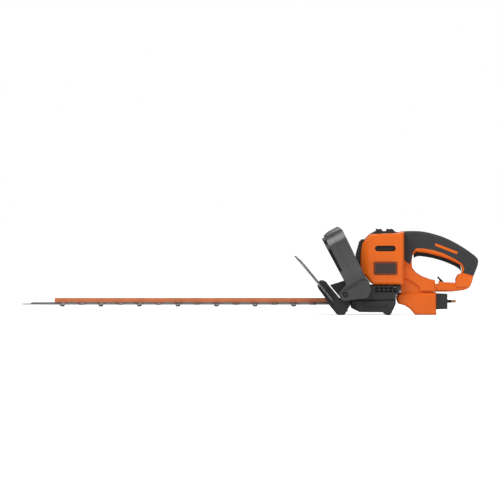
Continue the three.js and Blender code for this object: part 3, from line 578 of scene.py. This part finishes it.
def laminations(_):
    """Stacked motor plates, seen as fine lines round the core."""
    finish = Finish("laminations", Metallic=0.9)
    plates = node_in(
        finish.tree,
        "ShaderNodeTexWave",
        {"Vector": finish.at},
        set_bands_direction="Z",
        Scale=320.0,
        Distortion=0.2,
    )
    skin = finish.pattern("moulded_grain", Grain=400.0)
    body = finish.blend(plates.outputs["Fac"], (0.1, 0.1, 0.11), (0.26, 0.26, 0.27))
    finish.drive(
        "Base Color",
        finish.blend(maths(finish.tree, "MULTIPLY", skin["Mottle"], 0.3), body, (0.2, 0.14, 0.1)),
    )
    finish.drive("Roughness", plates.outputs["Fac"], 0.6, 0.38)
    finish.relief(plates.outputs["Fac"], 0.15 * MM)
    return finish.material


def windings(_):
    """Enamelled copper wire wound in rows."""
    finish = Finish("windings", Metallic=0.85, Coat_Weight=0.5, Coat_Roughness=0.15)
    wires = node_in(
        finish.tree,
        "ShaderNodeTexWave",
        {"Vector": finish.at},
        set_bands_direction="Z",
        Scale=210.0,
        Distortion=1.2,
        Detail=1.0,
    )
    skin = finish.pattern("moulded_grain", Grain=300.0)
    body = finish.blend(wires.outputs["Fac"], (0.2, 0.06, 0.025), (0.66, 0.26, 0.11))
    finish.drive(
        "Base Color",
        finish.blend(maths(finish.tree, "MULTIPLY", skin["Mottle"], 0.35), body, (0.4, 0.12, 0.05)),
    )
    finish.drive("Roughness", skin["Mottle"], 0.28, 0.42)
    finish.relief(wires.outputs["Fac"], 0.3 * MM)
    return finish.material


def badge_plate(colours):
    """Plain matt plate."""
    return moulding("badge_plate", colours.badge, 0.5, grain=700.0, depth=0.05 * MM, wear=1.6, shine=0.12)


def badge_line(colours):
    """Raised line round the plate."""
    return moulding("badge_line", shade(colours.housing, 0.45), 0.35, grain=900.0, shine=0.2)


def lead_sheath(colours):
    """Rubber sheath of the mains lead inside the housing."""
    return moulding("lead_sheath", shade(colours.black, 0.7), 0.65, grain=500.0, depth=0.05 * MM)


def material(maker):
    """A material, made from the current colours the first time it is asked for."""
    return bpy.data.materials.get(maker.__name__) or maker(settings().colours)


# ---------------------------------------------------------------- pieces


def mesh_from(name, bm, materials, smooth_below=38):
    """Ends a bmesh as a shaded piece, with faces smooth where they meet at less than an angle in degrees."""
    mesh = bpy.data.meshes.new(name)
    bm.normal_update()
    bm.to_mesh(mesh)
    bm.free()
    for maker in materials:
        mesh.materials.append(material(maker))
    mesh.polygons.foreach_set("use_smooth", [True] * len(mesh.polygons))
    mesh.set_sharp_from_angle(angle=math.radians(smooth_below))
    piece = bpy.data.objects.new(name, mesh)
    bpy.context.scene.collection.objects.link(piece)
    return piece


def merged(node):
    """A CAD node as a bmesh, with its loose triangles joined and its flats made one face each."""
    bm = bmesh.new()
    bm.from_mesh(frame["nodes"][node].data)
    bmesh.ops.remove_doubles(bm, verts=bm.verts[:], dist=MERGE)
    bmesh.ops.dissolve_limit(bm, angle_limit=math.radians(0.6), verts=bm.verts[:], edges=bm.edges[:])
    return bm


def corners_of(bm, lowest=25):
    """Edges where two faces meet at more than an angle in degrees."""
    limit = math.radians(lowest)
    return [edge for edge in bm.edges if len(edge.link_faces) == 2 and edge.calc_face_angle() > limit]


def rounded(bm, edges, radius, steps):
    """Rounds edges, and returns the new faces."""
    made = bmesh.ops.bevel(
        bm, geom=edges, offset=radius, offset_type="OFFSET", segments=steps, profile=0.5, affect="EDGES",
        material=-1, clamp_overlap=True, loop_slide=True,
    )
    return made["faces"]


def weigh_normals(piece):
    """Keeps flat faces flat beside their rounded edges."""
    piece.modifiers.new("flats", "WEIGHTED_NORMAL").keep_sharp = True
    return piece


def stood_for(node, bm, *makers):
    """Ends a CAD node's fine form, which stands for the node."""
    piece = weigh_normals(mesh_from(node + "_form", bm, makers))
    return attach(piece, body_of(node), slot_of(node), node)


def finished(node, maker, radius=None, lowest=25):
    """A CAD node's fine form: joined, with its corners rounded and its finish on."""
    sizes = settings().sizes
    bm = merged(node)
    rounded(bm, corners_of(bm, lowest), sizes.edge if radius is None else radius, sizes.edge_steps)
    return stood_for(node, bm, maker)


def added(name, bm, like, *makers):
    """Ends a piece that no CAD node holds. It has the body of a node."""
    return attach(weigh_normals(mesh_from(name, bm, makers)), body_of(like), slot_of(like))


def spun(profile, sides, place=UPWARDS):
    """A bmesh turned from a profile of radius and height in millimetres, then put in its place."""
    bm = bmesh.new()
    verts = [bm.verts.new((radius * MM, 0, height * MM)) for radius, height in profile]
    edges = [bm.edges.new(pair) for pair in zip(verts, verts[1:])]
    bmesh.ops.spin(
        bm, geom=verts + edges, cent=(0, 0, 0), axis=(0, 0, 1), angle=FULL_TURN, steps=sides, use_merge=True
    )
    bmesh.ops.remove_doubles(bm, verts=bm.verts[:], dist=MERGE / 4)
    bmesh.ops.recalc_face_normals(bm, faces=bm.faces[:])
    bmesh.ops.transform(bm, matrix=place, verts=bm.verts[:])
    return bm


def screw(profile, recess, floor, place):
    """A screw turned from a profile that ends at its rim, with a socket of six lobes sunk to a floor."""
    top = profile[-1][1]
    bm = spun([*profile, (recess, top), (recess * 0.92, floor), (0, floor - 0.2)], 36)
    for vert in bm.verts:
        radius = math.hypot(vert.co.x, vert.co.y)
        in_socket = 0.5 * recess * MM < radius < (recess + 0.01) * MM
        if in_socket and vert.co.z > (floor - 0.1) * MM:
            swell = 1 + 0.13 * math.cos(6 * math.atan2(vert.co.y, vert.co.x))
            vert.co.x *= swell
            vert.co.y *= swell
    bmesh.ops.transform(bm, matrix=place, verts=bm.verts[:])
    return bm


def mirrored_copy(bm):
    """Turns a bmesh into its own mirror image across the tool's middle plane."""
    bmesh.ops.scale(bm, vec=(1, -1, 1), verts=bm.verts[:])
    bmesh.ops.recalc_face_normals(bm, faces=bm.faces[:])
    return bm


def boxed(low, high):
    """A bmesh box between two corners in millimetres."""
    bm = bmesh.new()
    bmesh.ops.create_cube(bm, size=1)
    size = [(b - a) * MM for a, b in zip(low, high)]
    middle = [(a + b) / 2 * MM for a, b in zip(low, high)]
    bmesh.ops.scale(bm, vec=size, verts=bm.verts[:])
    bmesh.ops.translate(bm, vec=middle, verts=bm.verts[:])
    return bm


def placed(x, y, z, turn=UPWARDS):
    """A place in millimetres, with a turn."""
    return Matrix.Translation(Vector((x, y, z)) * MM) @ turn


def body_of(node):
    """The CAD body that holds a node."""
    return frame["nodes"][node]["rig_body"]


def slot_of(node):
    """The record's material slot of a node."""
    return next(row["material_slot"] for row in frame["record"]["subparts"] if row["node"] == node)


def attach(piece, body, slot, *nodes):
    """Fixes a piece to its body, and lets it stand for CAD nodes. Its slot is not used."""
    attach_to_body(piece, body)
    if nodes:
        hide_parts(*nodes)
    return piece


def painted(node, maker):
    """Gives a CAD node that keeps its own shape its material."""
    slots = frame["nodes"][node].data.materials
    slots.clear()
    slots.append(material(maker))


# ---------------------------------------------------------------- operators


class PieceOperator:
    """Shared by the operators that build pieces: each runs its build and reports it done."""

    bl_options = {"REGISTER", "UNDO"}

    def execute(self, context):
        self.build(settings())
        return {"FINISHED"}


class TRIMMER_OT_housing(PieceOperator, bpy.types.Operator):
    """Build the two orange housing halves"""

    bl_idname = "trimmer.housing"
    bl_label = "Housing"

    # Each well's place in X and Z, and the depth of its floor, in millimetres.
    WELLS = (
        (238, 150, 44.2),
        (300, 152, 44.2),
        (300, 74, 44.2),
        (238, 84, 44.2),
        (431, 66, 20.6),
        (350, 58, 25.2),
    )

    def build(self, options):
        for side in SIDES:
            finished("housing_" + side, housing_plastic)
        head = options.sizes.screw_head / MM
        profile = [(0, 0.05), (head, 0.05), (head, 0.9), (head * 0.8, 1.5)]
        for number, (x, z, floor) in enumerate(self.WELLS, 1):
            bm = screw(profile, 1.5, 0.6, placed(x, floor, z, ALONG_Y[1]))
            added(f"housing_screw_{number}", bm, "handle_screw_right", dark_steel)


class TRIMMER_OT_grips(PieceOperator, bpy.types.Operator):
    """Build the soft skin of the rear handle"""

    bl_idname = "trimmer.grips"
    bl_label = "Grip skin"

    def build(self, _):
        for side in SIDES:
            finished("grip_" + side, soft_skin)


class TRIMMER_OT_front_handle(PieceOperator, bpy.types.Operator):
    """Build the front handle's shells and its switch bar"""

    bl_idname = "trimmer.front_handle"
    bl_label = "Front handle"

    LEAN = math.radians(27.4)
    FOOT = Vector((188, 0, 68.6)) * MM
    SPLIT = 19.4 * MM

    def build(self, options):
        sizes = options.sizes
        deep = Vector((math.cos(self.LEAN), 0, math.sin(self.LEAN)))
        for shell in ("front", "rear"):
            node = f"front_handle_{shell}_shell"
            bm = merged(node)
            rims = [edge for edge in corners_of(bm, 50) if self.is_rim(edge, deep)]
            rounded(bm, rims, sizes.rim, 5)
            rounded(bm, corners_of(bm, 50), sizes.edge / 2, 1)
            stood_for(node, bm, charcoal_plastic)
        finished("front_switch_bar", gloss_black_plastic, sizes.case_edge)
        for side, turn in SIDES.items():
            node = "handle_screw_" + side
            profile = [(0, 0), (2.3, 0), (2.3, 32), (4.5, 32.3), (4.5, 34), (3.6, 35)]
            start = placed(HANDLE_SCREW_X, turn * HANDLE_SCREW_START, HANDLE_SCREW_Z, ALONG_Y[turn])
            bm = screw(profile, 2.1, 33, start)
            stood_for(node, bm, dark_steel)

    def is_rim(self, edge, deep):
        """Whether an edge lies along a long outer rim, between a side face and the front or the rear face."""
        first, second = (abs(face.normal.dot(deep)) for face in edge.link_faces)
        depth = (edge.verts[0].co - self.FOOT).dot(deep)
        apart = max(first, second) > 0.8 and min(first, second) < 0.35
        return edge.is_convex and apart and abs(depth - self.SPLIT) > MM


class TRIMMER_OT_covers(PieceOperator, bpy.types.Operator):
    """Build the black covers, gear case and guard base"""

    bl_idname = "trimmer.covers"
    bl_label = "Covers and cases"

    # Sheets behind the exhaust grilles, as two opposite corners in millimetres.
    SCREEN = ((248, 38.6, 44.6), (291, 39.4, 54.8))
    # Strips that seal the gap between the motor block and the gear case.
    SEAL = ((246, 36, 58.75), (298, 38, 60.25))

    def build(self, options):
        sizes = options.sizes
        for node in ("front_cover", "inlet_block", "gear_case_lower", "guard_base"):
            finished(node, black_plastic, sizes.case_edge)
        for node in ("top_vent_cap", "air_baffle", "gear_case_upper"):
            finished(node, black_plastic)
        for node in ("trigger", "cord_hook"):
            finished(node, gloss_black_plastic)
        baffle = mirrored_copy(merged("air_baffle"))
        rounded(baffle, corners_of(baffle), sizes.edge / 2, sizes.edge_steps)
        added("air_baffle_right", baffle, "air_baffle", black_plastic)
        added("screen_right", boxed(*self.SCREEN), "air_baffle", inner_plastic)
        added("screen_left", mirrored_copy(boxed(*self.SCREEN)), "air_baffle", inner_plastic)
        added("seal_right", boxed(*self.SEAL), "air_baffle", inner_plastic)
        added("seal_left", mirrored_copy(boxed(*self.SEAL)), "air_baffle", inner_plastic)
        stood_for("badge_left", self.badge(sizes), badge_plate, badge_line)
        added("badge_right", mirrored_copy(self.badge(sizes)), "badge_left", badge_plate, badge_line)

    def badge(self, sizes):
        """The left badge: a plain plate with a raised line inside its edge."""
        bm = merged("badge_left")
        bm.faces.ensure_lookup_table()
        face = min(bm.faces, key=lambda face: face.calc_center_median().y)
        bmesh.ops.inset_region(bm, faces=[face], thickness=sizes.badge_margin)
        line = bmesh.ops.inset_region(bm, faces=[face], thickness=sizes.badge_line)["faces"]
        raised = bmesh.ops.extrude_face_region(bm, geom=line)["geom"]
        bmesh.ops.delete(bm, geom=line, context="FACES_ONLY")
        corners = [part for part in raised if isinstance(part, bmesh.types.BMVert)]
        bmesh.ops.translate(bm, vec=(0, -0.35 * MM, 0), verts=corners)
        for vert in corners:
            for side in vert.link_faces:
                side.material_index = 1
        bmesh.ops.recalc_face_normals(bm, faces=bm.faces[:])
        return bm


class TRIMMER_OT_guard(PieceOperator, bpy.types.Operator):
    """Build the see-through hand guard"""

    bl_idname = "trimmer.guard"
    bl_label = "Hand guard"

    def build(self, _):
        finished("hand_guard", smoked_guard)


class TRIMMER_OT_blades(PieceOperator, bpy.types.Operator):
    """Build the two blades, their bolts and the support bar"""

    bl_idname = "trimmer.blades"
    bl_label = "Blades and bar"

    def build(self, options):
        sizes = options.sizes
        finished("support_bar", bar_coating, sizes.metal_edge)
        self.blade("upper_blade", sizes, 1)
        self.blade("lower_blade", sizes, -1)
        for node in [name for name in frame["nodes"] if name.startswith("blade_bolt")]:
            finished(node, dark_steel, sizes.metal_edge)
            self.nut_and_washer(node, sizes)

    def nut_and_washer(self, node, sizes):
        """The lock nut and washer that hold a blade bolt in the bar's channel."""
        number = node.split("_")[-1]
        start = placed(FIRST_BOLT_X + BOLT_SPACING * (int(number) - 1), 0, CHANNEL_FLOOR)
        rim = sizes.washer / MM
        washer = [(2.7, CLEARANCE), (rim, CLEARANCE), (rim, 0.9), (2.7, 0.9), (2.7, CLEARANCE)]
        added(f"blade_washer_{number}", spun(washer, 32, start), node, bright_steel)
        corner = sizes.nut / MM
        outer = [(corner - 0.4, 0.95), (corner, 1.3), (corner, 3.6), (corner - 0.4, 4)]
        nut = [(3.0, 0.95), *outer, (3.0, 4), (3.0, 0.95)]
        added(f"blade_nut_{number}", spun(nut, 6, start), node, dark_steel)

    def blade(self, node, sizes, face_up):
        """A blade with a bright bevel ground along the outer face of its teeth."""
        bm = merged(node)
        outer = max(vert.co.z * face_up for vert in bm.verts)
        keen = []
        for edge in bm.edges:
            on_face = all(vert.co.z * face_up > outer - MERGE for vert in edge.verts)
            a, b = (abs(vert.co.y) / MM for vert in edge.verts)
            if on_face and max(a, b) > 30 and min(a, b) > 12 and edge.calc_length() > 5 * MM:
                keen.append(edge)
        bmesh.ops.bevel(
            bm, geom=keen, offset=sizes.ground, offset_type="OFFSET", segments=1, profile=0.5, affect="EDGES",
            material=1, clamp_overlap=True, loop_slide=True,
        )
        stood_for(node, bm, blade_steel, ground_steel)


class TRIMMER_OT_inner_works(PieceOperator, bpy.types.Operator):
    """Give the motor, gears, switches and wiring their finishes"""

    bl_idname = "trimmer.inner_works"
    bl_label = "Inner works"

    MAKERS = {
        laminations: ["stator_core", "armature_core"],
        windings: ["field_coil_left", "field_coil_right", "commutator"],
        bright_steel: [
            "armature_shaft", "pinion", "drive_gear", "upper_eccentric", "lower_eccentric", "gear_axle",
            "upper_bearing",
            "lower_bearing", "trigger_spring", "front_bar_spring", "guard_screw_left", "guard_screw_right",
        ],
        brass: ["inlet_pin_left", "inlet_pin_right", "upper_bush", "lower_bush"],
        inner_plastic: ["rear_switch", "front_switch", "capacitor", "fan", "brush_left", "brush_right"],
        lead_sheath: ["mains_lead"],
        plunger_plastic: ["rear_switch_plunger", "front_switch_plunger"],
    }

    def build(self, _):
        for maker, nodes in self.MAKERS.items():
            for node in nodes:
                painted(node, maker)
        sleeve = [(2.46, 394.5), (2.75, 394.5), (2.75, 402.4), (2.46, 402.4), (2.46, 394.5)]
        for side, turn in SIDES.items():
            bm = spun(sleeve, 32, placed(0, turn * PIN_Y, PIN_Z, ALONG_X))
            added("pin_sleeve_" + side, bm, "inlet_block", inner_plastic)


class TRIMMER_OT_stage(bpy.types.Operator):
    """Set the floor, the lights and the camera"""

    bl_idname = "trimmer.stage"
    bl_label = "Stage"

    def execute(self, context):
        options = settings().stage
        self.lay_floor(options)
        self.hang_lights(options)
        self.place_camera(options)
        return {"FINISHED"}

    def lay_floor(self, options):
        bm = bmesh.new()
        bmesh.ops.create_circle(bm, cap_ends=True, segments=64, radius=12)
        bmesh.ops.translate(bm, verts=bm.verts[:], vec=(0, 0, -0.0004))
        mesh = bpy.data.meshes.new("floor")
        bm.to_mesh(mesh)
        bm.free()
        paint = Finish("floor_paint", Roughness=0.9, Specular_IOR_Level=0.1)
        tone = node_in(paint.tree, "ShaderNodeTexNoise", {"Vector": paint.at}, Scale=1.5, Detail=2.0)
        paint.drive(
            "Base Color",
            paint.blend(tone.outputs[0], shade(options.floor, 0.99), shade(options.floor, 1.01)),
        )
        seen = paint.tree.nodes.new("ShaderNodeLightPath").outputs["Is Camera Ray"]
        paint.drive("Emission Color", paint.blend(seen, (0.0, 0.0, 0.0), (1.0, 1.0, 1.0)))
        paint.surface.inputs["Emission Strength"].default_value = options.glow
        mesh.materials.append(paint.material)
        floor = bpy.data.objects.new("floor", mesh)
        bpy.context.scene.collection.objects.link(floor)

    def hang_lights(self, options):
        softboxes = {
            "key": (options.key, (-0.8, -1.3, 2.0), 1.5),
            "fill": (options.fill, (1.5, -1.5, 0.9), 1.4),
            "back": (options.fill, (0.2, 1.8, 1.4), 1.6),
        }
        for name, (power, place, size) in softboxes.items():
            light = bpy.data.lights.new(name, "AREA")
            light.energy = power
            light.size = size
            lamp = bpy.data.objects.new(name, light)
            lamp.location = place
            lamp.rotation_mode = "QUATERNION"
            lamp.rotation_quaternion = (Vector((0.1, 0, 0.05)) - Vector(place)).to_track_quat("-Z", "Y")
            bpy.context.scene.collection.objects.link(lamp)
        world = bpy.data.worlds.new("studio")
        world.use_nodes = True
        tree = world.node_tree
        path = tree.nodes.new("ShaderNodeLightPath").outputs
        mirrored = ramp(tree, path["Is Glossy Ray"], 0.0, 1.0, options.sky, options.sky * options.mirrored)
        strength = maths(tree, "MAXIMUM", mirrored, path["Is Camera Ray"])
        sky = tree.nodes["Background"]
        sky.inputs["Color"].default_value = (1, 1, 1, 1)
        tree.links.new(strength, sky.inputs["Strength"])
        bpy.context.scene.world = world

    def place_camera(self, options):
        data = bpy.data.cameras.new("camera")
        data.lens = data.sensor_width * options.distance / options.field
        camera = bpy.data.objects.new("camera", data)
        back = Vector((0, -math.cos(options.look_down), math.sin(options.look_down)))
        camera.location = Vector((0, 0, options.aim)) + back * options.distance
        camera.rotation_mode = "QUATERNION"
        camera.rotation_quaternion = (-back).to_track_quat("-Z", "Y")
        bpy.context.scene.collection.objects.link(camera)
        bpy.context.scene.camera = camera
        bpy.context.scene.view_settings.view_transform = "Standard"


BUILDERS = (
    TRIMMER_OT_stage,
    TRIMMER_OT_housing,
    TRIMMER_OT_grips,
    TRIMMER_OT_front_handle,
    TRIMMER_OT_covers,
    TRIMMER_OT_guard,
    TRIMMER_OT_blades,
    TRIMMER_OT_inner_works,
)


class TRIMMER_PT_sidebar(bpy.types.Panel):
    """Lists the settings and the operators in the order that they run"""

    bl_label = "Hedge trimmer"
    bl_idname = "TRIMMER_PT_sidebar"
    bl_space_type = "VIEW_3D"
    bl_region_type = "UI"
    bl_category = "Hedge trimmer"

    def draw(self, context):
        options = context.scene.hedge_trimmer
        for title, part in (("Colours", options.colours), ("Sizes", options.sizes), ("Stage", options.stage)):
            box = self.layout.box()
            box.label(text=title)
            for name in part.__annotations__:
                box.prop(part, name)
        for builder in BUILDERS:
            self.layout.operator(builder.bl_idname)


CLASSES = (TrimmerColours, TrimmerSizes, TrimmerStage, TrimmerSettings, *BUILDERS, TRIMMER_PT_sidebar)


def register():
    for cls in CLASSES:
        bpy.utils.register_class(cls)
    bpy.types.Scene.hedge_trimmer = PointerProperty(type=TrimmerSettings)


def unregister():
    del bpy.types.Scene.hedge_trimmer
    for cls in reversed(CLASSES):
        bpy.utils.unregister_class(cls)


def main():
    """Builds everything."""
    register()
    for builder in BUILDERS:
        family, name = builder.bl_idname.split(".")
        getattr(getattr(bpy.ops, family), name)()


if __name__ == "__main__":
    main()
